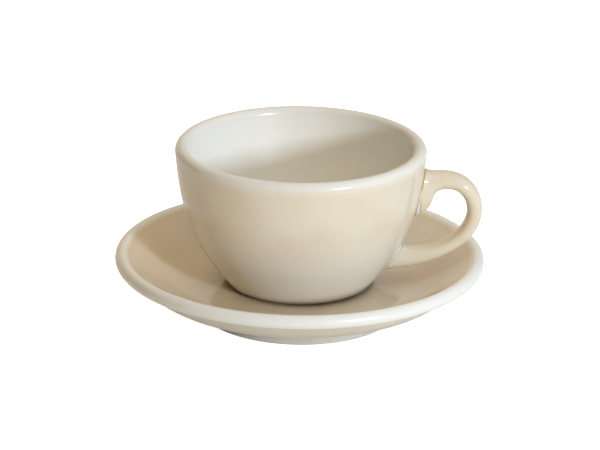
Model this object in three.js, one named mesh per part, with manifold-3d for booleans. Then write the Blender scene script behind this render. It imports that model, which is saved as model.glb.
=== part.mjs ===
// A cappuccino cup standing on its saucer, both glazed stoneware.
// Millimetres, +Z up. The origin is the centre of the saucer's foot on the table.
// The handle points to +X.
import * as THREE from 'three';
import { mergeVertices } from 'three/addons/utils/BufferGeometryUtils.js';
import Module from 'manifold-3d';

const wasm = await Module();
wasm.setup();

// Cup: heights count from the plane of its own foot.
const CUP_HEIGHT = 56.75;
const CUP_RIM_RADIUS = 49.0;
const CUP_WALL = 5.4;
const CUP_FLOOR = 5.0;
// The foot is a ring round a shallow recess, and its outer edge is the radius of its flat plus a rounding.
const CUP_FOOT_RADIUS = 26.6;
const CUP_FOOT_WIDTH = 4.6;
const CUP_FOOT_RECESS = 1.6;
const CUP_FOOT_ROUND = 2.2;
const CUP_RECESS_ROUND = 0.8;
// The bowl leaves its foot at one slope and reaches its rim at another, and is drawn out along both.
const BOWL_FOOT_ANGLE = 48.7;
const BOWL_FOOT_PULL = 24.3;
const BOWL_RIM_ANGLE = 85.0;
const BOWL_RIM_PULL = 20.9;
// The wall's inside sweeps into the floor from this height above it, drawn out by this share of the way.
const INSIDE_BLEND = 10.0;
const INSIDE_SWEEP = 0.6;

// Handle: a loop between an outer and an inner outline, with an oval section.
// It starts this far below the cup's rim and reaches this far past it.
const HANDLE_DROP = 10.8;
const HANDLE_REACH = 22.2;
// Thickness of the upper arm and of the bend, and width across the loop.
const HANDLE_ARM = 7.0;
const HANDLE_BEND = 6.0;
const HANDLE_WIDTH = 9.5;
// The outermost point lies above the middle of the loop, and the hole's own a little lower.
const HANDLE_BEND_LIFT = 4.9;
const HANDLE_HOLE_SAG = 0.6;
// The crown of the arm and the top of the hole, past the cup's rim.
const HANDLE_CROWN_OUT = 6.5;
const HANDLE_CROWN_RISE = 0.2;
const HANDLE_HOLE_OUT = 8.5;
// The upper root runs down the bowl into a blunt tongue that leaves the bowl at this slope.
const UPPER_ROOT_HEIGHT = 17.9;
const UPPER_ROOT_WIDTH = 11.4;
const UPPER_TONGUE_ANGLE = 8.0;
// The lower root starts above the cup's foot plane, and the arm dips away from its top at this slope.
const LOWER_ROOT_LIFT = 5.4;
const LOWER_ROOT_HEIGHT = 10.8;
const LOWER_ROOT_WIDTH = 10.4;
const LOWER_ROOT_DIP = 19.0;
// Fullness of the outlines: how far a stretch runs on along its end directions, as a share of its chord.
const STRAIGHT_SHARE = 0.35;
const ROUND_SHARE = 0.41;
const TONGUE_SHARE = 0.6;
const HOLE_TURN_SHARE = 0.24;
const LOWER_ARM_SHARE = 0.56;
const UNDERSIDE_SHARE = 0.55;

// Slip sticks the handle's roots to the bowl: a thin pad, squeezed out round the root,
// with a hair gap on both faces.
const SLIP_THICKNESS = 0.6;
const SLIP_BEAD = 0.35;
const SLIP_GAP = 0.3;
// The loop's outlines start inside the bowl's wall, where the root's face is then cut.
const ROOT_SINK = 2.5;

// Saucer: heights count from the table. Its rolled lip passes the handle by this margin.
const SAUCER_MARGIN = 1.3;
const SAUCER_HEIGHT = 24.6;
const SAUCER_LIP = 5.4;
const SAUCER_LIP_ANGLE = 37.0;
// The lip's round runs on past its lowest point by this angle, to a crease that the underside climbs to.
const LIP_TUCK_ANGLE = 23.0;
const UNDERSIDE_ANGLE = 43.0;
// The dish sweeps down to a level ledge round the well that the cup stands in.
const SAUCER_FLOOR_HEIGHT = 12.4;
const SAUCER_LEDGE = 5.6;
const SAUCER_WELL_DEPTH = 0.7;
const SAUCER_BASE = 5.9;
const WELL_CLEARANCE = 0.8;
const SEAT_CLEARANCE = 0.25;
// The foot ring that the saucer stands on, and the slope of the underside where it leaves the ring.
const SAUCER_FOOT_RADIUS = 39.3;
const SAUCER_FOOT_HEIGHT = 4.4;
const SAUCER_FOOT_WIDTH = 5.6;
const SAUCER_FOOT_ROUND = 0.8;
const SAUCER_FOOT_ANGLE = 13.0;
const SAUCER_RECESS_ROUND = 1.2;

// Fineness of the round forms.
const TURN_STEPS = 52;
const SIDE_STEPS = 13;
const LIP_STEPS = 10;
const ROUND_STEPS = 4;
const SECTION_STEPS = 20;
const LEG_STEPS = [8, 11, 15];
const HALVINGS = 30;
// An oval of power 2 is an ellipse, and a higher one has fuller shoulders.
const OVAL_POWER = 2.3;

const CREAM_GLAZE = { color: 0xe0d4c0, roughness: 0.18, metalness: 0 };
const PALE_SLIP = { color: 0xe6e4dc, roughness: 0.25, metalness: 0 };

// Profile points are (radius, height), and directions are degrees up from the outward horizontal.
const at = (radius, height) => new THREE.Vector2(radius, height);

function towards(start, degrees, length) {
  const angle = THREE.MathUtils.degToRad(degrees);
  return at(start.x + length * Math.cos(angle), start.y + length * Math.sin(angle));
}

function arc(centre, radius, fromDegrees, toDegrees, steps) {
  const sweep = (toDegrees - fromDegrees) / steps;
  return Array.from({ length: steps + 1 }, (_, i) => towards(centre, fromDegrees + i * sweep, radius));
}

// A smooth stretch that leaves one point and reaches the next along the given directions,
// pulled out along them by shares of the straight distance between the two points.
function stretch(start, startDegrees, startPull, end, endDegrees, endPull) {
  const span = start.distanceTo(end);
  const leaving = towards(start, startDegrees, startPull * span);
  const reaching = towards(end, endDegrees, -endPull * span);
  return new THREE.CubicBezierCurve(start, leaving, reaching, end);
}

// A profile that starts and ends on the axis, turned round it.
function turned(profile) {
  return new THREE.LatheGeometry(profile, TURN_STEPS).rotateX(Math.PI / 2);
}

// A closed mesh as a solid that can be joined and cut.
function solid(geometry) {
  const bare = geometry.clone();
  bare.deleteAttribute('normal');
  bare.deleteAttribute('uv');
  const merged = mergeVertices(bare);
  const corners = merged.index.array;
  const triVerts = [];
  for (let i = 0; i < corners.length; i += 3) {
    const [a, b, c] = corners.slice(i, i + 3);
    if (a !== b && b !== c && c !== a) triVerts.push(a, b, c);
  }
  const vertProperties = Float32Array.from(merged.attributes.position.array);
  const mesh = new wasm.Mesh({ numProp: 3, vertProperties, triVerts: Uint32Array.from(triVerts) });
  return new wasm.Manifold(mesh);
}

function geometryOf(manifold) {
  const mesh = manifold.getMesh();
  const geometry = new THREE.BufferGeometry();
  geometry.setAttribute('position', new THREE.BufferAttribute(Float32Array.from(mesh.vertProperties), 3));
  geometry.setIndex(Array.from(mesh.triVerts));
  geometry.computeVertexNormals();
  return geometry;
}

function piece(name, geometry, finish) {
  const mesh = new THREE.Mesh(geometry, new THREE.MeshStandardMaterial(finish));
  mesh.name = name;
  return mesh;
}

// The bowl's outer side runs from the top of its rounded foot to the start of its half-round rim.
const rimRound = CUP_WALL / 2;
const footCentre = at(CUP_FOOT_RADIUS, CUP_FOOT_ROUND);
const bowlFoot = towards(footCentre, BOWL_FOOT_ANGLE - 90, CUP_FOOT_ROUND);
const rimCentre = at(CUP_RIM_RADIUS - rimRound, CUP_HEIGHT - rimRound);
const bowlRim = towards(rimCentre, BOWL_RIM_ANGLE - 90, rimRound);
const bowlSide = new THREE.CubicBezierCurve(
  bowlFoot,
  towards(bowlFoot, BOWL_FOOT_ANGLE, BOWL_FOOT_PULL),
  towards(bowlRim, BOWL_RIM_ANGLE, -BOWL_RIM_PULL),
  bowlRim,
);

// Points of the bowl's side, moved square to it: outwards by a positive distance, inwards by a negative one.
function besideBowl(distance) {
  return Array.from({ length: SIDE_STEPS + 1 }, (_, i) => {
    const share = i / SIDE_STEPS;
    const slope = bowlSide.getTangent(share);
    return bowlSide.getPoint(share).add(at(slope.y, -slope.x).multiplyScalar(distance));
  });
}

// The radius of the bowl's outer side at a height, found by halving.
function bowlRadius(height) {
  let low = 0;
  let high = 1;
  for (let halving = 0; halving < HALVINGS; halving += 1) {
    const middle = (low + high) / 2;
    if (bowlSide.getPoint(middle).y < height) low = middle;
    else high = middle;
  }
  return bowlSide.getPoint(low).x;
}

function bowlProfile() {
  const recessRadius = CUP_FOOT_RADIUS - CUP_FOOT_WIDTH;
  const floorHeight = CUP_FOOT_RECESS + CUP_FLOOR;
  const recess = [
    at(0, CUP_FOOT_RECESS),
    at(recessRadius - CUP_RECESS_ROUND, CUP_FOOT_RECESS),
    at(recessRadius, CUP_FOOT_RECESS - CUP_RECESS_ROUND),
    at(recessRadius, 0),
  ];
  const foot = arc(footCentre, CUP_FOOT_ROUND, -90, BOWL_FOOT_ANGLE - 90, ROUND_STEPS);
  const rim = arc(rimCentre, rimRound, BOWL_RIM_ANGLE - 90, BOWL_RIM_ANGLE + 90, LIP_STEPS);
  const wall = besideBowl(-CUP_WALL).reverse().filter((p) => p.y > floorHeight + INSIDE_BLEND);
  // The wall sweeps into the floor on one curve that ends level on the axis.
  const [above, last] = wall.slice(-2);
  const sweep = last.clone().sub(above).normalize();
  const corner = last.clone().addScaledVector(sweep, (INSIDE_BLEND / -sweep.y) * INSIDE_SWEEP);
  const level = at(last.x * INSIDE_SWEEP, floorHeight);
  const floor = new THREE.CubicBezierCurve(last, corner, level, at(0, floorHeight)).getPoints(LIP_STEPS);
  return [
    ...recess,
    ...foot,
    ...besideBowl(0).slice(1, -1),
    ...rim,
    ...wall.slice(1),
    ...floor.slice(1),
  ];
}

// The handle's two outlines in its own plane, as three stretches each: from the upper root to the crown
// of the arm, round the bend to the outermost point, and back down to the lower root.
function handleOutlines() {
  const rootAt = (height) => at(bowlRadius(height) - ROOT_SINK, height);
  const top = CUP_HEIGHT - HANDLE_DROP;
  const bendHeight = (top + LOWER_ROOT_LIFT) / 2 + HANDLE_BEND_LIFT;
  const outermost = at(CUP_RIM_RADIUS + HANDLE_REACH, bendHeight);
  const crown = at(CUP_RIM_RADIUS + HANDLE_CROWN_OUT, top + HANDLE_CROWN_RISE);
  const holeTop = at(CUP_RIM_RADIUS + HANDLE_HOLE_OUT, crown.y - HANDLE_ARM);
  const holeSide = at(outermost.x - HANDLE_BEND, bendHeight - HANDLE_HOLE_SAG);
  const tongue = rootAt(top - UPPER_ROOT_HEIGHT);
  const lowerTop = rootAt(LOWER_ROOT_LIFT + LOWER_ROOT_HEIGHT);
  const outer = [
    stretch(rootAt(top), 0, STRAIGHT_SHARE, crown, 0, STRAIGHT_SHARE),
    stretch(crown, 0, ROUND_SHARE, outermost, -90, ROUND_SHARE),
    stretch(outermost, -90, STRAIGHT_SHARE, rootAt(LOWER_ROOT_LIFT), 180, STRAIGHT_SHARE),
  ];
  const inner = [
    stretch(tongue, UPPER_TONGUE_ANGLE, TONGUE_SHARE, holeTop, 0, ROUND_SHARE),
    stretch(holeTop, 0, ROUND_SHARE, holeSide, -90, ROUND_SHARE),
    stretch(holeSide, -90, HOLE_TURN_SHARE, lowerTop, 180 - LOWER_ROOT_DIP, LOWER_ARM_SHARE),
  ];
  return { outer, inner };
}

// Oval sections across the handle, each as wide as its place on the loop asks.
function handleSections(bead) {
  const { outer, inner } = handleOutlines();
  const widths = [
    [UPPER_ROOT_WIDTH, HANDLE_WIDTH],
    [HANDLE_WIDTH, HANDLE_WIDTH],
    [HANDLE_WIDTH, LOWER_ROOT_WIDTH],
  ];
  const power = 2 / OVAL_POWER;
  const rounded = (value) => Math.sign(value) * Math.abs(value) ** power;
  const sections = [];
  LEG_STEPS.forEach((steps, leg) => {
    for (let i = leg === 0 ? 0 : 1; i <= steps; i += 1) {
      const share = i / steps;
      const out = outer[leg].getPoint(share);
      const back = inner[leg].getPoint(share);
      const middle = out.clone().add(back).divideScalar(2);
      const across = out.clone().sub(back).divideScalar(2);
      across.setLength(across.length() + bead);
      const [first, last] = widths[leg];
      const halfWidth = THREE.MathUtils.lerp(first, last, THREE.MathUtils.smoothstep(share, 0, 1)) / 2 + bead;
      const ring = Array.from({ length: SECTION_STEPS }, (_, k) => {
        const turn = (2 * Math.PI * k) / SECTION_STEPS;
        const point = middle.clone().addScaledVector(across, rounded(Math.cos(turn)));
        return new THREE.Vector3(point.x, halfWidth * rounded(Math.sin(turn)), point.y);
      });
      sections.push(ring);
    }
  });
  return sections;
}

// A closed skin through the sections, with a flat fan at either end.
function loft(sections) {
  const count = SECTION_STEPS;
  const middleOf = (ring) => ring.reduce((sum, p) => sum.add(p), new THREE.Vector3()).divideScalar(count);
  const middles = [middleOf(sections[0]), middleOf(sections.at(-1))];
  const points = [...sections.flat(), ...middles];
  const firstMiddle = points.length - 2;
  const lastMiddle = points.length - 1;
  const lastRing = (sections.length - 1) * count;
  const triangles = [];
  for (let k = 0; k < count; k += 1) {
    const next = (k + 1) % count;
    for (let row = 0; row < lastRing; row += count) {
      triangles.push(row + k, row + count + next, row + next);
      triangles.push(row + k, row + count + k, row + count + next);
    }
    triangles.push(firstMiddle, k, next);
    triangles.push(lastMiddle, lastRing + next, lastRing + k);
  }
  const geometry = new THREE.BufferGeometry().setFromPoints(points);
  geometry.setIndex(triangles);
  return geometry;
}

// All that lies within a distance of the bowl's outer side, as a solid without the hollow.
function bowlGrown(distance) {
  const side = besideBowl(distance);
  return solid(turned([at(0, side[0].y), ...side, at(0, side.at(-1).y)]));
}

function handlePieces() {
  const slipInside = bowlGrown(SLIP_GAP);
  const slipOutside = bowlGrown(SLIP_GAP + SLIP_THICKNESS);
  const rootFace = bowlGrown(SLIP_GAP + SLIP_THICKNESS + SLIP_GAP);
  const slipLayer = slipOutside.subtract(slipInside);
  const beaded = handleSections(SLIP_BEAD);
  const upperRoot = solid(loft(beaded.slice(0, LEG_STEPS[0] + 1)));
  const lowerRoot = solid(loft(beaded.slice(-LEG_STEPS[2])));
  const handle = solid(loft(handleSections(0))).subtract(rootFace);
  return [
    piece('cup_handle', geometryOf(handle), CREAM_GLAZE),
    piece('upper_slip_joint', geometryOf(upperRoot.intersect(slipLayer)), PALE_SLIP),
    piece('lower_slip_joint', geometryOf(lowerRoot.intersect(slipLayer)), PALE_SLIP),
  ];
}

// The saucer's well takes the cup's rounded foot, and its lip passes the handle's outermost point.
const saucerRadius = CUP_RIM_RADIUS + HANDLE_REACH + SAUCER_MARGIN;
const wellRadius = bowlFoot.x + WELL_CLEARANCE;
const wellHeight = SAUCER_FLOOR_HEIGHT - SAUCER_WELL_DEPTH;

function saucerProfile() {
  const lipRound = SAUCER_LIP / 2;
  const lipCentre = at(saucerRadius - lipRound, SAUCER_HEIGHT - lipRound);
  const lip = arc(lipCentre, lipRound, -90 - LIP_TUCK_ANGLE, SAUCER_LIP_ANGLE + 90, LIP_STEPS);
  const footInside = SAUCER_FOOT_RADIUS - SAUCER_FOOT_WIDTH;
  const recessHeight = wellHeight - SAUCER_BASE;
  const recessCorner = at(footInside - SAUCER_RECESS_ROUND, recessHeight - SAUCER_RECESS_ROUND);
  const recess = [
    at(0, recessHeight),
    ...arc(recessCorner, SAUCER_RECESS_ROUND, 90, 0, ROUND_STEPS),
    at(footInside, SAUCER_FOOT_ROUND),
    at(footInside + SAUCER_FOOT_ROUND, 0),
  ];
  const foot = arc(at(SAUCER_FOOT_RADIUS - SAUCER_FOOT_ROUND, SAUCER_FOOT_ROUND),
    SAUCER_FOOT_ROUND, -90, 0, ROUND_STEPS);
  const footTop = at(SAUCER_FOOT_RADIUS, SAUCER_FOOT_HEIGHT);
  const underside = stretch(
    footTop, SAUCER_FOOT_ANGLE, UNDERSIDE_SHARE,
    lip[0], UNDERSIDE_ANGLE, STRAIGHT_SHARE,
  );
  const floorEdge = at(wellRadius + SAUCER_WELL_DEPTH + SAUCER_LEDGE, SAUCER_FLOOR_HEIGHT);
  const dish = stretch(lip.at(-1), SAUCER_LIP_ANGLE + 180, STRAIGHT_SHARE, floorEdge, 180, STRAIGHT_SHARE);
  const ledge = at(wellRadius + SAUCER_WELL_DEPTH, SAUCER_FLOOR_HEIGHT);
  const wellEdge = stretch(ledge, 180, ROUND_SHARE, at(wellRadius, wellHeight), 180, ROUND_SHARE);
  return [
    ...recess,
    ...foot,
    ...underside.getPoints(SIDE_STEPS).slice(0, -1),
    ...lip,
    ...dish.getPoints(SIDE_STEPS).slice(1),
    ...wellEdge.getPoints(ROUND_STEPS),
    at(0, wellHeight),
  ];
}

const cup = new THREE.Group();
cup.position.z = wellHeight + SEAT_CLEARANCE;
cup.add(piece('cup_bowl', turned(bowlProfile()), CREAM_GLAZE), ...handlePieces());

const part = new THREE.Group();
part.add(piece('saucer', turned(saucerProfile()), CREAM_GLAZE), cup);

export default part;
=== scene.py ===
"""A cappuccino cup standing on its saucer, in glossy cream glaze over pale stoneware.

The frame holds the solids, and this script turns, lofts and glazes finer pieces in their place.
Profiles and sizes are in millimetres. Meshes, the paper and the lamps are in metres.
"""

import math

import bmesh
import bpy
import numpy as np
from mathutils import Matrix, Vector


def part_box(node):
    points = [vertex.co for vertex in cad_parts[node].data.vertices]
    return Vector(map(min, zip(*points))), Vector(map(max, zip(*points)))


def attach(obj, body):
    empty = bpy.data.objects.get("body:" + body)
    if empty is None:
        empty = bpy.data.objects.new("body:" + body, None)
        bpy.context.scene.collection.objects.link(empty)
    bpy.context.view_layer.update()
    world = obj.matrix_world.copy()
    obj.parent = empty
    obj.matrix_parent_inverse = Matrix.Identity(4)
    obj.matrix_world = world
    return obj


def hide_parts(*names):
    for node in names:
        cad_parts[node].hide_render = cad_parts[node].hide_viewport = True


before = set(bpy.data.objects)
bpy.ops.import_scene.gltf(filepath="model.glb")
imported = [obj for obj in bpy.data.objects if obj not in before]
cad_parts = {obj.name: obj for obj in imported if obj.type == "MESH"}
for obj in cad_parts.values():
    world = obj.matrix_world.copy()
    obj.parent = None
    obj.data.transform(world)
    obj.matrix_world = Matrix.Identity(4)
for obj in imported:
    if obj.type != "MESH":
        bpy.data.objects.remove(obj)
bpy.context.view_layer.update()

MM = 0.001

# The cup as it stands in the frame: its foot plane, its rim, and how far its handle reaches.
SEAT_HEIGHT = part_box("cup_bowl")[0].z / MM
CUP_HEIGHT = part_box("cup_bowl")[1].z / MM - SEAT_HEIGHT
CUP_RIM_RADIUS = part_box("cup_bowl")[1].x / MM
HANDLE_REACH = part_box("cup_handle")[1].x / MM
# The saucer in the frame.
SAUCER_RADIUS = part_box("saucer")[1].x / MM
SAUCER_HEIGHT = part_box("saucer")[1].z / MM

# Bowl: a round foot, a side that leaves it at one slope and reaches the rim at another, and an even wall.
CUP_WALL = 5.4
CUP_FLOOR = 5.0
CUP_FOOT_RADIUS = 26.6
CUP_FOOT_WIDTH = 4.6
CUP_FOOT_RECESS = 1.6
CUP_FOOT_ROUND = 2.2
CUP_RECESS_ROUND = 0.8
CUP_RING_WIDTH = 1.0
CUP_UNDERCUT = 1.0
CUP_EDGE_ROUND = 0.35
BOWL_FOOT_ANGLE = 48.7
BOWL_FOOT_PULL = 24.3
BOWL_RIM_ANGLE = 85.0
BOWL_RIM_PULL = 20.9
INSIDE_BLEND = 10.0
INSIDE_SWEEP = 0.6

# Handle: a loop between an outer and an inner outline, with an oval section.
HANDLE_DROP = 10.8
HANDLE_ARM = 7.0
HANDLE_BEND = 6.0
HANDLE_WIDTH = 9.5
HANDLE_BEND_LIFT = 4.9
HANDLE_HOLE_SAG = 0.6
HANDLE_CROWN_OUT = 6.5
HANDLE_CROWN_RISE = 0.2
HANDLE_HOLE_OUT = 8.5
UPPER_ROOT_HEIGHT = 17.9
UPPER_ROOT_WIDTH = 11.4
UPPER_TONGUE_ANGLE = 8.0
LOWER_ROOT_LIFT = 5.4
LOWER_ROOT_HEIGHT = 10.8
LOWER_ROOT_WIDTH = 10.4
LOWER_ROOT_DIP = 19.0
STRAIGHT_SHARE = 0.35
ROUND_SHARE = 0.41
TONGUE_SHARE = 0.76
HOLE_TOP_SHARE = 0.51
HOLE_TURN_SHARE = 0.24
LOWER_ARM_SHARE = 0.56
OVAL_POWER = 2.3
TONGUE_POWER = 3.2
ROOT_SINK = 2.5
ROOT_ROUND = 0.5

# Fillets that flare the roots at the bowl: their size at the outer and the inner outline, and their reach.
UPPER_FILLET = (0.9, 0.0)
LOWER_FILLET = (0.5, 0.9)
FILLET_REACH = 3.6

# Slip seams: width of the pale line at the outer and the inner outline of each root, and their small flare.
# A seam shows no pale line up to the faint width, and has its whole line and flare from the full width on.
UPPER_SEAM = (0.15, 2.1)
LOWER_SEAM = (1.0, 1.1)
SEAM_OPENS = 0.38
SEAM_BURIED = 0.4
SEAM_FLARE = 0.55
SEAM_FLARE_LIMIT = 1.4
SEAM_RECESS = 0.18
SEAM_RECESS_SHARES = (0.1, 0.6)
SEAM_FAINT = 0.2
SEAM_FULL = 0.7

# Saucer: a foot ring, a rolled lip, a dish that sweeps down to a ledge, and the well for the cup's foot.
SAUCER_LIP = 5.4
SAUCER_LIP_ANGLE = 32.0
LIP_TUCK_ANGLE = 23.0
UNDERSIDE_ANGLE = 43.0
UNDERSIDE_SHARE = 0.55
SAUCER_FLOOR_HEIGHT = 11.9
DISH_LIP_SHARE = 0.55
DISH_FLOOR_SHARE = 0.45
SAUCER_LEDGE = 3.7
SAUCER_WELL_DEPTH = 0.2
SAUCER_BASE = 5.9
WELL_CLEARANCE = 0.8
SAUCER_FOOT_RADIUS = 39.3
SAUCER_FOOT_HEIGHT = 4.4
SAUCER_FOOT_WIDTH = 5.6
SAUCER_FOOT_ROUND = 0.8
SAUCER_FOOT_ANGLE = 13.0
SAUCER_RECESS_ROUND = 1.2

# Where the glaze changes, from and to, measured inwards over the crest of the rim or of the saucer's lip. The
# rim's white has some cream in it, which fades out inside the cup, and glaze gathers at the foot of the lip.
RIM_WHITE = (-6.2, -2.6)
RIM_CREAM_SHARE = 0.22
CUP_WHITE = (1.5, 6.0)
LIP_WHITE_OUTSIDE = (-8.6, -6.0)
LIP_WHITE_INSIDE = (2.3, 3.7)
GATHERED_FROM = (2.6, 3.6)
GATHERED_UNTIL = (3.8, 6.0)
GATHERED_SHARE = 0.6
# Where the glaze is thin: low on the bowl, by height, and on the saucer's underside and foot.
BOWL_THIN = (14.0, 36.0)
UNDERSIDE_FROM = -2.0
UNDERSIDE_THIN_SHARE = 0.2
FOOT_THIN_SHARE = 0.5
# How far bare clay reaches past the undercut of the cup's foot, where its dark tone is also painted shade for
# the gap under the cup, and up the saucer's foot.
CUP_BARE_AND_SHADE_EDGE = 0.1
SAUCER_BARE_EDGE = 0.15

# Fineness of the meshes.
TURN_STEPS = 192
CURVE_STEPS = 28
ROUND_STEPS = 14
LINE_STEPS = 200
HANDLE_ROWS = 150
HANDLE_LINES = 72
ROOT_ROWS = 7
SEAM_ROWS = 14
ON_AXIS = 1e-6

# The camera stands where the photograph's did, found from the outlines of cup and saucer.
IMAGE_WIDTH = 600
SENSOR_WIDTH = 36.0
FOCAL_PIXELS = 3267.24
CAMERA_TARGET = (0.0, 0.0, 34.88)
CAMERA_DISTANCE = 1281.1
CAMERA_ELEVATION = 20.24
CAMERA_ROLL = 0.75


def at(radius, height):
    return Vector((radius, height))


def towards(start, degrees, length):
    angle = math.radians(degrees)
    return start + length * at(math.cos(angle), math.sin(angle))


def arc(centre, radius, start, end, steps=ROUND_STEPS):
    return [towards(centre, start + (end - start) * i / steps, radius) for i in range(steps + 1)]


def bezier(a, b, c, d, steps=CURVE_STEPS):
    shares = [i / steps for i in range(steps + 1)]
    return [
        a * (1 - t) ** 3 + b * (3 * t * (1 - t) ** 2) + c * (3 * t * t * (1 - t)) + d * t**3 for t in shares
    ]


def stretch(start, start_degrees, start_pull, end, end_degrees, end_pull, steps=CURVE_STEPS):
    """A smooth line that leaves one point and reaches the next along the given directions."""
    span = (end - start).length
    leaving = towards(start, start_degrees, start_pull * span)
    reaching = towards(end, end_degrees, -end_pull * span)
    return bezier(start, leaving, reaching, end, steps)


def smooth_step(value, low, high):
    share = np.clip((np.asarray(value, float) - low) / (high - low), 0, 1)
    return share * share * (3 - 2 * share)


# The bowl's outer side, from the top of its rounded foot to the start of its half-round rim.
RIM_ROUND = CUP_WALL / 2
FOOT_CENTRE = at(CUP_FOOT_RADIUS, CUP_FOOT_ROUND)
BOWL_FOOT = towards(FOOT_CENTRE, BOWL_FOOT_ANGLE - 90, CUP_FOOT_ROUND)
RIM_CENTRE = at(CUP_RIM_RADIUS - RIM_ROUND, CUP_HEIGHT - RIM_ROUND)
BOWL_RIM = towards(RIM_CENTRE, BOWL_RIM_ANGLE - 90, RIM_ROUND)


def bowl_side(steps):
    return bezier(
        BOWL_FOOT,
        towards(BOWL_FOOT, BOWL_FOOT_ANGLE, BOWL_FOOT_PULL),
        towards(BOWL_RIM, BOWL_RIM_ANGLE, -BOWL_RIM_PULL),
        BOWL_RIM,
        steps,
    )


def beside_bowl(distance):
    """The bowl's side, moved square to itself: outwards by a positive distance."""
    side = bowl_side(CURVE_STEPS)
    moved = []
    for i, point in enumerate(side):
        run = side[min(i + 1, len(side) - 1)] - side[max(i - 1, 0)]
        moved.append(point + distance * at(run.y, -run.x).normalized())
    return moved


def bowl_radius(height):
    side = bowl_side(LINE_STEPS)
    return float(np.interp(height, [p.y for p in side], [p.x for p in side]))


def off_bowl(points):
    """How far points stand off the bowl's outer side, less than nothing inside it."""
    side = np.array(bowl_side(LINE_STEPS))
    run = np.gradient(side, axis=0)
    outward = np.column_stack([run[:, 1], -run[:, 0]]) / np.linalg.norm(run, axis=1)[:, None]
    flat = np.column_stack([np.hypot(points[:, 0], points[:, 1]), points[:, 2]])
    nearest = np.linalg.norm(flat[:, None] - side[None], axis=2).argmin(1)
    return ((flat - side[nearest]) * outward[nearest]).sum(1)


def bowl_profile():
    recess_radius = CUP_FOOT_RADIUS - CUP_FOOT_WIDTH
    floor_height = CUP_FOOT_RECESS + CUP_FLOOR
    recess = [
        at(0, CUP_FOOT_RECESS),
        at(recess_radius - CUP_RECESS_ROUND, CUP_FOOT_RECESS),
        at(recess_radius, CUP_FOOT_RECESS - CUP_RECESS_ROUND),
        at(recess_radius, 0),
    ]
    ring_edge = recess_radius + CUP_RING_WIDTH
    edge_centre = BOWL_FOOT + towards(at(0, 0), BOWL_FOOT_ANGLE + 90, CUP_EDGE_ROUND)
    foot = [
        at(ring_edge - CUP_EDGE_ROUND, 0),
        at(ring_edge, CUP_EDGE_ROUND),
        at(ring_edge + CUP_EDGE_ROUND, CUP_UNDERCUT),
        *arc(edge_centre, CUP_EDGE_ROUND, -90, BOWL_FOOT_ANGLE - 90),
    ]
    rim = arc(RIM_CENTRE, RIM_ROUND, BOWL_RIM_ANGLE - 90, BOWL_RIM_ANGLE + 90, 2 * ROUND_STEPS)
    wall = [p for p in reversed(beside_bowl(-CUP_WALL)) if p.y > floor_height + INSIDE_BLEND]
    last = wall[-1]
    sweep = (last - wall[-2]).normalized()
    corner = last + sweep * (INSIDE_BLEND / -sweep.y * INSIDE_SWEEP)
    floor = bezier(last, corner, at(last.x * INSIDE_SWEEP, floor_height), at(0, floor_height))
    return recess + foot + bowl_side(CURVE_STEPS)[1:-1] + rim + wall[1:] + floor[1:]


def saucer_profile():
    lip_round = SAUCER_LIP / 2
    lip_centre = at(SAUCER_RADIUS - lip_round, SAUCER_HEIGHT - lip_round)
    lip = arc(lip_centre, lip_round, -90 - LIP_TUCK_ANGLE, SAUCER_LIP_ANGLE + 90, 3 * ROUND_STEPS)
    well_radius = BOWL_FOOT.x + WELL_CLEARANCE
    well_height = SAUCER_FLOOR_HEIGHT - SAUCER_WELL_DEPTH
    foot_inside = SAUCER_FOOT_RADIUS - SAUCER_FOOT_WIDTH
    recess_height = well_height - SAUCER_BASE
    recess_corner = at(foot_inside - SAUCER_RECESS_ROUND, recess_height - SAUCER_RECESS_ROUND)
    recess = [at(0, recess_height), *arc(recess_corner, SAUCER_RECESS_ROUND, 90, 0)]
    foot = arc(at(foot_inside + SAUCER_FOOT_ROUND, SAUCER_FOOT_ROUND), SAUCER_FOOT_ROUND, 180, 270)
    foot += arc(at(SAUCER_FOOT_RADIUS - SAUCER_FOOT_ROUND, SAUCER_FOOT_ROUND), SAUCER_FOOT_ROUND, -90, 0)
    foot_top = at(SAUCER_FOOT_RADIUS, SAUCER_FOOT_HEIGHT)
    underside = stretch(foot_top, SAUCER_FOOT_ANGLE, UNDERSIDE_SHARE, lip[0], UNDERSIDE_ANGLE, STRAIGHT_SHARE)
    ledge = at(well_radius + SAUCER_WELL_DEPTH, SAUCER_FLOOR_HEIGHT)
    floor_edge = ledge + at(SAUCER_LEDGE, 0)
    dish = stretch(lip[-1], SAUCER_LIP_ANGLE + 180, DISH_LIP_SHARE, floor_edge, 180, DISH_FLOOR_SHARE)
    well_edge = stretch(ledge, 180, ROUND_SHARE, at(well_radius, well_height), 180, ROUND_SHARE, ROUND_STEPS)
    return recess + foot + underside[:-1] + lip + dish[1:] + well_edge + [at(0, well_height)]


def along(profile, start):
    """Lengths along a profile from the point nearest to start, less than nothing before it."""
    steps = [(b - a).length for a, b in zip(profile, profile[1:])]
    lengths = np.concatenate([[0], np.cumsum(steps)])
    crest = min(range(len(profile)), key=lambda i: (profile[i] - start).length)
    return lengths - lengths[crest]


def shown(name, bm, body, node, material):
    """A mesh as a smooth piece that rides on a body of the frame in place of one of its nodes."""
    bmesh.ops.recalc_face_normals(bm, faces=bm.faces)
    mesh = bpy.data.meshes.new(name)
    bm.to_mesh(mesh)
    bm.free()
    mesh.shade_smooth()
    mesh.materials.append(material)
    piece = bpy.data.objects.new(name, mesh)
    bpy.context.scene.collection.objects.link(piece)
    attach(piece, body)
    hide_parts(node)


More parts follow.
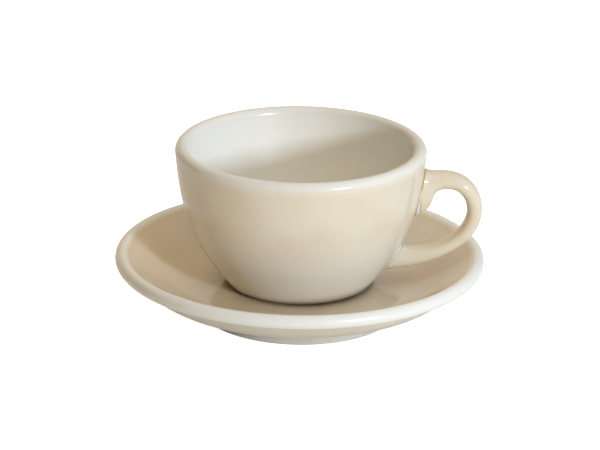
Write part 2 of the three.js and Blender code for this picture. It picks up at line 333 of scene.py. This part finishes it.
def turned(profile, marks, lift):
    """A profile turned round the axis, with a value of each mark for every point of it."""
    bm = bmesh.new()
    layers = {mark: bm.verts.layers.float.new(mark) for mark in marks}
    turns = [2 * math.pi * k / TURN_STEPS for k in range(TURN_STEPS)]
    rings = []
    for i, point in enumerate(profile):
        places = [(0, 0)] if point.x < ON_AXIS else [(math.cos(t), math.sin(t)) for t in turns]
        ring = [bm.verts.new(Vector((point.x * x, point.x * y, point.y + lift)) * MM) for x, y in places]
        for vert in ring:
            for mark, layer in layers.items():
                vert[layer] = marks[mark][i]
        rings.append(ring)
    for low, high in zip(rings, rings[1:]):
        for k in range(TURN_STEPS):
            after = (k + 1) % TURN_STEPS
            corners = [low[k % len(low)], low[after % len(low)], high[after % len(high)], high[k % len(high)]]
            bm.faces.new(list(dict.fromkeys(corners)))
    return bm


def handle_lines():
    """Lines along the handle's skin from inside the upper root to inside the lower: rows by lines by 3."""

    def root(height):
        return at(bowl_radius(height) - ROOT_SINK, height)

    top = CUP_HEIGHT - HANDLE_DROP
    bend_height = (top + LOWER_ROOT_LIFT) / 2 + HANDLE_BEND_LIFT
    outermost = at(HANDLE_REACH, bend_height)
    crown = at(CUP_RIM_RADIUS + HANDLE_CROWN_OUT, top + HANDLE_CROWN_RISE)
    hole_top = at(CUP_RIM_RADIUS + HANDLE_HOLE_OUT, crown.y - HANDLE_ARM)
    hole_side = at(HANDLE_REACH - HANDLE_BEND, bend_height - HANDLE_HOLE_SAG)
    tongue = root(top - UPPER_ROOT_HEIGHT)
    lower_bottom = root(LOWER_ROOT_LIFT)
    lower_top = root(LOWER_ROOT_LIFT + LOWER_ROOT_HEIGHT)
    dip = 180 - LOWER_ROOT_DIP
    # Each leg has an outer and an inner line, and the widths and the powers of its oval at both ends.
    legs = [
        (
            stretch(root(top), 0, STRAIGHT_SHARE, crown, 0, STRAIGHT_SHARE, LINE_STEPS),
            stretch(tongue, UPPER_TONGUE_ANGLE, TONGUE_SHARE, hole_top, 0, HOLE_TOP_SHARE, LINE_STEPS),
            (UPPER_ROOT_WIDTH, HANDLE_WIDTH),
            (TONGUE_POWER, OVAL_POWER),
        ),
        (
            stretch(crown, 0, ROUND_SHARE, outermost, -90, ROUND_SHARE, LINE_STEPS),
            stretch(hole_top, 0, ROUND_SHARE, hole_side, -90, ROUND_SHARE, LINE_STEPS),
            (HANDLE_WIDTH, HANDLE_WIDTH),
            (OVAL_POWER, OVAL_POWER),
        ),
        (
            stretch(outermost, -90, STRAIGHT_SHARE, lower_bottom, 180, STRAIGHT_SHARE, LINE_STEPS),
            stretch(hole_side, -90, HOLE_TURN_SHARE, lower_top, dip, LOWER_ARM_SHARE, LINE_STEPS),
            (HANDLE_WIDTH, LOWER_ROOT_WIDTH),
            (OVAL_POWER, OVAL_POWER),
        ),
    ]
    turns = 2 * np.pi * np.arange(HANDLE_LINES) / HANDLE_LINES
    round_it = (np.cos(turns), np.sin(turns))
    rows = []
    for outer, inner, widths, powers in legs:
        for i in range(1 if rows else 0, LINE_STEPS + 1):
            share = smooth_step(i / LINE_STEPS, 0, 1)
            width, power = (a + (b - a) * share for a, b in (widths, powers))
            outward, sideways = (np.sign(turn) * np.abs(turn) ** (2 / power) for turn in round_it)
            out, back = np.array(outer[i]), np.array(inner[i])
            flat = (out + back) / 2 + outward[:, None] * (out - back) / 2
            rows.append(np.column_stack([flat[:, 0], width / 2 * sideways, flat[:, 1]]))
    return np.array(rows)


def skin_normals(lines):
    """Outward directions of the handle's skin."""
    down = np.gradient(lines, axis=0)
    round_it = np.roll(lines, -1, axis=1) - np.roll(lines, 1, axis=1)
    normals = np.cross(round_it, down)
    normals /= np.linalg.norm(normals, axis=2)[:, :, None]
    middle = lines.mean(1)[:, None]
    inward = ((lines - middle) * normals).sum() < 0
    return -normals if inward else normals


def inwards():
    """How far each of the handle's lines lies from the outer outline to the inner, as a share."""
    return (1 - np.cos(2 * np.pi * np.arange(HANDLE_LINES) / HANDLE_LINES)) / 2


def seam_widths(seam):
    """The pale line's width at each of the handle's lines: an even start that opens as a wedge."""
    wedge = np.clip((inwards() - SEAM_OPENS) / (1 - SEAM_OPENS), 0, 1)
    return seam[0] + (seam[1] - seam[0]) * wedge


def filleted(lines, normals):
    """The handle's lines with both roots flared where they meet the bowl."""
    stand_off = off_bowl(lines.reshape(-1, 3)).reshape(lines.shape[:2])
    near = np.clip(1 - stand_off / FILLET_REACH, 0, 1) ** 2
    middle_row = len(lines) // 2
    fillets = [outer + (inner - outer) * inwards() for outer, inner in (UPPER_FILLET, LOWER_FILLET)]
    near[:middle_row] *= fillets[0]
    near[middle_row:] *= fillets[1]
    return lines + near[:, :, None] * normals


def picked(lines, line, rows):
    """Points of one line at fractional rows."""
    whole = np.arange(len(lines))
    return np.column_stack([np.interp(rows, whole, lines[:, line, axis]) for axis in range(3)])


def fitted_handle(lines, normals):
    """The handle's lines, cut where their seams begin and rounded over there."""
    stand_off = off_bowl(lines.reshape(-1, 3)).reshape(lines.shape[:2])
    widths = [seam_widths(UPPER_SEAM), seam_widths(LOWER_SEAM)]
    middle_row = len(lines) // 2
    edge = ROOT_ROUND * (1 - np.cos(np.linspace(0, np.pi / 2, ROOT_ROWS)))
    skin = []
    for k in range(HANDLE_LINES):
        start = np.interp(widths[0][k], stand_off[:middle_row, k], np.arange(middle_row))
        tail = stand_off[middle_row:, k][::-1]
        end = len(lines) - 1 - np.interp(widths[1][k], tail, np.arange(len(tail)))
        fine = np.linspace(start, end, 4 * LINE_STEPS)
        points = picked(lines, k, fine)
        runs = np.concatenate([[0], np.cumsum(np.linalg.norm(np.diff(points, axis=0), axis=1))])
        between = np.linspace(ROOT_ROUND, runs[-1] - ROOT_ROUND, HANDLE_ROWS)
        wanted = np.concatenate([edge[:-1], between, runs[-1] - edge[:-1][::-1]])
        rows = np.interp(wanted, runs, fine)
        from_seam = np.minimum(wanted, runs[-1] - wanted)
        short = np.clip(1 - from_seam / ROOT_ROUND, 0, 1)
        tuck = ROOT_ROUND * (1 - np.sqrt(1 - short**2))
        skin.append(picked(lines, k, rows) - tuck[:, None] * picked(normals, k, rows))
    return np.stack(skin, axis=1)


def slip_seam(lines, normals, seam):
    """A pad of slip, sunk in the bowl's wall and tucked under the root, and shares across its pale line."""
    stand_off = off_bowl(lines.reshape(-1, 3)).reshape(lines.shape[:2])
    widths = seam_widths(seam)
    skin, across = [], []
    for k in range(HANDLE_LINES):
        heights = np.linspace(-SEAM_BURIED, widths[k] + ROOT_ROUND, SEAM_ROWS)
        reach = np.argmax(stand_off[:, k] > widths[k] + 2 * ROOT_ROUND)
        rows = np.interp(heights, stand_off[: reach + 1, k], np.arange(reach + 1))
        share = heights / widths[k]
        flare = SEAM_FLARE * np.clip(1 - share, 0, SEAM_FLARE_LIMIT) ** 2
        flare -= SEAM_RECESS * smooth_step(share, *SEAM_RECESS_SHARES)
        flare *= smooth_step(widths[k], 0, SEAM_FULL)
        skin.append(picked(lines, k, rows) + flare[:, None] * picked(normals, k, rows))
        across.append(share * smooth_step(widths[k], SEAM_FAINT, SEAM_FULL))
    return np.stack(skin, axis=1), np.stack(across, axis=1)


def lofted(rows, marks):
    """A closed skin over rows of points, capped at both ends, with a value of each mark for every point."""
    bm = bmesh.new()
    layers = {mark: bm.verts.layers.float.new(mark) for mark in marks}
    seat = Vector((0, 0, SEAT_HEIGHT * MM))
    rings = []
    for i, row in enumerate(rows):
        ring = [bm.verts.new(Vector(point) * MM + seat) for point in row]
        for mark, layer in layers.items():
            for vert, value in zip(ring, marks[mark][i]):
                vert[layer] = value
        rings.append(ring)
    for low, high in zip(rings, rings[1:]):
        for k in range(len(low)):
            after = (k + 1) % len(low)
            bm.faces.new([low[k], low[after], high[after], high[k]])
    bm.faces.new(rings[0])
    bm.faces.new(rings[-1])
    return bm


def linear(colour):
    """An sRGB hex colour as linear RGBA."""
    shares = [int(colour[i : i + 2], 16) / 255 for i in (1, 3, 5)]
    return [c / 12.92 if c <= 0.04045 else ((c + 0.055) / 1.055) ** 2.4 for c in shares] + [1.0]


def add(tree, kind, settings=(), **inputs):
    """A node of a kind, with its settings, and its inputs set to values or linked to other nodes' outputs."""
    node = tree.nodes.new(kind)
    for name, value in dict(settings).items():
        setattr(node, name, value)
    for name, value in inputs.items():
        key = int(name[1:]) if name[1:].isdigit() else name.replace("_", " ")
        if isinstance(value, bpy.types.NodeSocket):
            tree.links.new(value, node.inputs[key])
        else:
            node.inputs[key].default_value = value
    return node


def new_material(name):
    material = bpy.data.materials.new(name)
    material.use_nodes = True
    material.node_tree.nodes.clear()
    return material, material.node_tree


MIX_SOCKETS = {"FLOAT": (2, 3, 0), "RGBA": (6, 7, 2)}


def mixed(tree, kind, share, first, second):
    """Two numbers or two colours, mixed by a share of the second."""
    low, high, result = MIX_SOCKETS[kind]
    inputs = {"_0": share, f"_{low}": first, f"_{high}": second}
    return add(tree, "ShaderNodeMix", {"data_type": kind}, **inputs).outputs[result]


def marked(tree, name):
    """A mark of the mesh, from 0 to 1."""
    return add(tree, "ShaderNodeAttribute", {"attribute_name": name}).outputs["Fac"]


def rising(tree, value, low, high):
    """A smooth rise from 0 to 1 while a value goes from low to high."""
    smooth = {"interpolation_type": "SMOOTHSTEP"}
    rise = add(tree, "ShaderNodeMapRange", smooth, Value=value, From_Min=low, From_Max=high)
    return rise.outputs["Result"]


# Glazed stoneware, dipped and fired: a glassy cream coat, a little cloudy where it lies thicker. It breaks to
# white on the rolled edges and in the cup, gathers below the saucer's lip, pales towards the cup's foot, and
# is wiped off where the piece stood in the kiln. Under the cup, that bare clay also stands as painted shade
# for the dark gap between cup and saucer.
CREAM = "#E9DDC7"
DEEP_CREAM = "#E5D5BC"
THIN_CREAM = "#EAE3D5"
WHITE = "#F2EFE6"
BARE_STONEWARE_AND_GAP_SHADE = "#A69579"
THICK_CREAM = "#E3D1A8"
COATS = (("thin", THIN_CREAM), ("white", WHITE), ("bare", BARE_STONEWARE_AND_GAP_SHADE), ("gathered", THICK_CREAM))
CREAM_ROUGHNESS = 0.05
WHITE_ROUGHNESS = 0.26
BARE_ROUGHNESS = 0.8
GLAZE_IOR = 1.5
CLOUD_SIZE = 22.0
CLOUD_EDGES = (0.35, 0.65)
PEEL_SIZE = 1.6
PEEL_DEPTH = 0.2
PEEL_STRENGTH = 0.02


def glazed_stoneware():
    material, tree = new_material("glazed_stoneware")
    place = add(tree, "ShaderNodeTexCoord").outputs["Object"]
    clouds = add(tree, "ShaderNodeTexNoise", Vector=place, Scale=1 / (CLOUD_SIZE * MM), Detail=3.0)
    thin, thick = CLOUD_EDGES
    cloudy = add(tree, "ShaderNodeMapRange", Value=clouds.outputs["Fac"], From_Min=thin, From_Max=thick)
    colour = mixed(tree, "RGBA", cloudy.outputs["Result"], linear(CREAM), linear(DEEP_CREAM))
    for mark, coat in COATS:
        colour = mixed(tree, "RGBA", marked(tree, mark), colour, linear(coat))
    gloss = mixed(tree, "FLOAT", marked(tree, "white"), CREAM_ROUGHNESS, WHITE_ROUGHNESS)
    roughness = mixed(tree, "FLOAT", marked(tree, "bare"), gloss, BARE_ROUGHNESS)
    peel = add(tree, "ShaderNodeTexNoise", Vector=place, Scale=1 / (PEEL_SIZE * MM), Detail=1.0)
    height = peel.outputs["Fac"]
    bump = add(tree, "ShaderNodeBump", Strength=PEEL_STRENGTH, Distance=PEEL_DEPTH * MM, Height=height)
    shader = add(
        tree,
        "ShaderNodeBsdfPrincipled",
        Base_Color=colour,
        Roughness=roughness,
        IOR=GLAZE_IOR,
        Normal=bump.outputs["Normal"],
    )
    add(tree, "ShaderNodeOutputMaterial", Surface=shader.outputs["BSDF"])
    return material


# Fired slip under a clear run of glaze: a pale line, partly a painted highlight, with painted shade darker
# along both its edges where the seam creases.
PALE_SLIP_AND_SHEEN = "#E6E8E5"
SEAM_CREASE_SHADE = "#B79C6D"
SLIP_ROUGHNESS = 0.1
SLIP_NEAR_EDGE = (0.0, 0.2)
SLIP_FAR_EDGE = (0.85, 1.05)


def slip_with_painted_seam_light():
    material, tree = new_material("slip_with_painted_seam_light")
    across = marked(tree, "across")
    near, far = (rising(tree, across, *edge) for edge in (SLIP_NEAR_EDGE, SLIP_FAR_EDGE))
    # The seam's dark edges are painted shade, and its pale middle is slip with a painted highlight.
    pale = mixed(tree, "RGBA", near, linear(SEAM_CREASE_SHADE), linear(PALE_SLIP_AND_SHEEN))
    colour = mixed(tree, "RGBA", far, pale, linear(SEAM_CREASE_SHADE))
    gloss = {"Roughness": SLIP_ROUGHNESS, "IOR": GLAZE_IOR}
    shader = add(tree, "ShaderNodeBsdfPrincipled", Base_Color=colour, **gloss)
    add(tree, "ShaderNodeOutputMaterial", Surface=shader.outputs["BSDF"])
    return material


# White paper: lifted to white for the camera and a little in reflections, and else as bright as it is lit.
PAPER = "#F4F3F0"
PAPER_SIZE = 20.0
PAPER_LIFT = 0.92
PAPER_MIRRORED = 0.15


def seen_or_mirrored(tree, otherwise, mirrored, seen):
    """A value by kind of ray: one in mirrors and glass, one for the camera, and one for all others."""
    path = add(tree, "ShaderNodeLightPath")
    by_mirror = add(
        tree,
        "ShaderNodeMath",
        {"operation": "MAXIMUM"},
        _0=path.outputs["Is Glossy Ray"],
        _1=path.outputs["Is Transmission Ray"],
    )
    value = mixed(tree, "FLOAT", by_mirror.outputs["Value"], otherwise, mirrored)
    return mixed(tree, "FLOAT", path.outputs["Is Camera Ray"], value, seen)


def white_paper():
    material, tree = new_material("white_paper")
    lift = seen_or_mirrored(tree, 0.0, PAPER_MIRRORED, PAPER_LIFT)
    matt = add(tree, "ShaderNodeBsdfDiffuse", Color=linear(PAPER))
    glow = add(tree, "ShaderNodeEmission", Color=(1, 1, 1, 1), Strength=lift)
    lifted = add(tree, "ShaderNodeAddShader", _0=matt.outputs["BSDF"], _1=glow.outputs["Emission"])
    add(tree, "ShaderNodeOutputMaterial", Surface=lifted.outputs["Shader"])
    return material


def make_bowl(glaze):
    profile = bowl_profile()
    past_rim = along(profile, RIM_CENTRE + at(0, RIM_ROUND))
    heights = np.array([p.y for p in profile])
    radii = np.array([p.x for p in profile])
    foot = radii > CUP_FOOT_RADIUS - CUP_FOOT_WIDTH - CUP_BARE_AND_SHADE_EDGE
    cream_left = RIM_CREAM_SHARE * (1 - smooth_step(past_rim, *CUP_WHITE))
    marks = {
        "white": smooth_step(past_rim, *RIM_WHITE) * (1 - cream_left),
        "thin": np.where(past_rim < 0, 1 - smooth_step(heights, *BOWL_THIN), 0.0),
        # Bare clay over the ring and undercut of the cup's foot, darker there partly as painted shade in the
        # gap under the cup.
        "bare": np.where((heights < CUP_UNDERCUT + CUP_BARE_AND_SHADE_EDGE) & foot, 1.0, 0.0),
    }
    shown("bowl", turned(profile, marks, SEAT_HEIGHT), "cup", "cup_bowl", glaze)


def make_handle(lines, normals, glaze):
    bm = lofted(fitted_handle(lines, normals), {})
    shown("handle", bm, "cup", "cup_handle", glaze)


def make_seam(name, lines, normals, seam, node, slip):
    skin, across = slip_seam(lines, normals, seam)
    shown(name, lofted(skin, {"across": across}), "cup", node, slip)


def make_saucer(glaze):
    profile = saucer_profile()
    past_lip = along(profile, at(SAUCER_RADIUS - SAUCER_LIP / 2, SAUCER_HEIGHT))
    heights = np.array([p.y for p in profile])
    radii = np.array([p.x for p in profile])
    foot = (heights < SAUCER_FOOT_HEIGHT) & (radii > SAUCER_FOOT_RADIUS - SAUCER_FOOT_WIDTH)
    white_inside = 1 - smooth_step(past_lip, *LIP_WHITE_INSIDE)
    white_outside = smooth_step(past_lip, *LIP_WHITE_OUTSIDE)
    gathered = smooth_step(past_lip, *GATHERED_FROM) * (1 - smooth_step(past_lip, *GATHERED_UNTIL))
    underside = np.where(past_lip < UNDERSIDE_FROM, UNDERSIDE_THIN_SHARE, 0.0)
    marks = {
        "white": np.where(past_lip > 0, white_inside, white_outside),
        "thin": np.where(foot, FOOT_THIN_SHARE, underside),
        "bare": np.where((heights < SAUCER_BARE_EDGE) & foot, 1.0, 0.0),
        "gathered": GATHERED_SHARE * gathered,
    }
    shown("saucer_dish", turned(profile, marks, 0), "saucer", "saucer", glaze)


def make_floor():
    bm = bmesh.new()
    bmesh.ops.create_grid(bm, x_segments=1, y_segments=1, size=PAPER_SIZE / 2)
    mesh = bpy.data.meshes.new("paper")
    bm.to_mesh(mesh)
    bm.free()
    mesh.materials.append(white_paper())
    floor = bpy.data.objects.new("paper", mesh)
    bpy.context.scene.collection.objects.link(floor)


def make_camera():
    tilt, roll = math.radians(CAMERA_ELEVATION), math.radians(CAMERA_ROLL)
    ahead = Vector((0, math.cos(tilt), -math.sin(tilt)))
    level, up = Vector((1, 0, 0)), Vector((0, math.sin(tilt), math.cos(tilt)))
    right = math.cos(roll) * level + math.sin(roll) * up
    above = math.cos(roll) * up - math.sin(roll) * level
    place = (Vector(CAMERA_TARGET) - CAMERA_DISTANCE * ahead) * MM
    data = bpy.data.cameras.new("camera")
    data.sensor_width = SENSOR_WIDTH
    data.lens = FOCAL_PIXELS / IMAGE_WIDTH * SENSOR_WIDTH
    camera = bpy.data.objects.new("camera", data)
    camera.matrix_world = Matrix.Translation(place) @ Matrix((right, above, -ahead)).transposed().to_4x4()
    bpy.context.scene.collection.objects.link(camera)
    bpy.context.scene.camera = camera


LAMP_TARGET = (0.0, 0.0, 0.04)


def lamp(name, azimuth, elevation, distance, size, watts, colour):
    """A square soft box that faces the cup. Azimuth counts to the right of the camera's side, in degrees."""
    turn, rise = math.radians(azimuth), math.radians(elevation)
    way = Vector((math.sin(turn) * math.cos(rise), -math.cos(turn) * math.cos(rise), math.sin(rise)))
    data = bpy.data.lights.new(name, "AREA")
    data.shape = "SQUARE"
    data.size = size
    data.energy = watts
    data.color = linear(colour)[:3]
    box = bpy.data.objects.new(name, data)
    box.location = Vector(LAMP_TARGET) + distance * way
    box.rotation_euler = way.to_track_quat("Z", "Y").to_euler()
    bpy.context.scene.collection.objects.link(box)


# Light from all round: warm from above, both behind and before the cup, and cool from a broad window high at
# the right. The camera sees a white room, and glossy surfaces see it dimmer, brightest on the wall behind the
# cup to the left.
WARM_CEILING = "#FFDB8E"
BACK_LIGHT = 1.62
BACK_WAY = (0.0, 0.6, 0.8)
FRONT_LIGHT = 1.08
FRONT_WAY = (0.0, -0.6, 0.8)
CEILING_POWER = 8
COOL_WINDOW = "#C4DEFF"
WINDOW_LIGHT = 1.2
WINDOW_WAY = (0.5, 0.0, 0.866)
WINDOW_POWER = 3
PALE_WALL = "#FFF6EC"
WALL_DIM = 0.17
WALL_BRIGHT = 0.72
WALL_WAY = (-0.28, 0.92, 0.28)
WALL_POWER = 6


def brighter_towards(tree, direction, power, low, high):
    """A value that grows from low to high as a ray turns towards a direction."""
    way = add(tree, "ShaderNodeTexCoord").outputs["Generated"]
    facing = add(tree, "ShaderNodeVectorMath", {"operation": "DOT_PRODUCT"}, _0=way, _1=direction)
    ahead = add(tree, "ShaderNodeMath", {"operation": "MAXIMUM"}, _0=facing.outputs["Value"], _1=0.0)
    lobe = add(tree, "ShaderNodeMath", {"operation": "POWER"}, _0=ahead.outputs["Value"], _1=power)
    value = add(tree, "ShaderNodeMapRange", Value=lobe.outputs["Value"], To_Min=low, To_Max=high)
    return value.outputs["Result"]


def make_room():
    world = bpy.data.worlds.new("room")
    bpy.context.scene.world = world
    world.use_nodes = True
    tree = world.node_tree
    tree.nodes.clear()
    behind = brighter_towards(tree, BACK_WAY, CEILING_POWER, 0, BACK_LIGHT)
    before = brighter_towards(tree, FRONT_WAY, CEILING_POWER, 0, FRONT_LIGHT)
    above = add(tree, "ShaderNodeMath", {"operation": "ADD"}, _0=behind, _1=before)
    warmth = above.outputs["Value"]
    ceiling = add(tree, "ShaderNodeBackground", Color=linear(WARM_CEILING), Strength=warmth)
    beside = brighter_towards(tree, WINDOW_WAY, WINDOW_POWER, 0, WINDOW_LIGHT)
    window = add(tree, "ShaderNodeBackground", Color=linear(COOL_WINDOW), Strength=beside)
    warm, cool = ceiling.outputs["Background"], window.outputs["Background"]
    light = add(tree, "ShaderNodeAddShader", _0=warm, _1=cool).outputs["Shader"]
    mirrored = brighter_towards(tree, WALL_WAY, WALL_POWER, WALL_DIM, WALL_BRIGHT)
    wall = add(tree, "ShaderNodeBackground", Color=linear(PALE_WALL), Strength=mirrored)
    white = add(tree, "ShaderNodeBackground", Color=(1, 1, 1, 1), Strength=1.0)
    pale, plain = wall.outputs["Background"], white.outputs["Background"]
    by_mirror = seen_or_mirrored(tree, 0.0, 1.0, 0.0)
    by_camera = seen_or_mirrored(tree, 0.0, 0.0, 1.0)
    glossy = add(tree, "ShaderNodeMixShader", _0=by_mirror, _1=light, _2=pale).outputs["Shader"]
    room = add(tree, "ShaderNodeMixShader", _0=by_camera, _1=glossy, _2=plain)
    add(tree, "ShaderNodeOutputWorld", Surface=room.outputs["Shader"])


glaze = glazed_stoneware()
slip = slip_with_painted_seam_light()
make_saucer(glaze)
make_bowl(glaze)
loop = handle_lines()
loop = filleted(loop, skin_normals(loop))
loop_normals = skin_normals(loop)
make_handle(loop, loop_normals, glaze)
make_seam("upper_seam", loop, loop_normals, UPPER_SEAM, "upper_slip_joint", slip)
make_seam("lower_seam", loop[::-1], loop_normals[::-1], LOWER_SEAM, "lower_slip_joint", slip)

make_floor()
make_camera()
make_room()
lamp("soft_box", azimuth=36, elevation=13, distance=1.4, size=0.16, watts=11.8, colour="#DEECFC")

bpy.context.scene.view_settings.view_transform = "Standard"
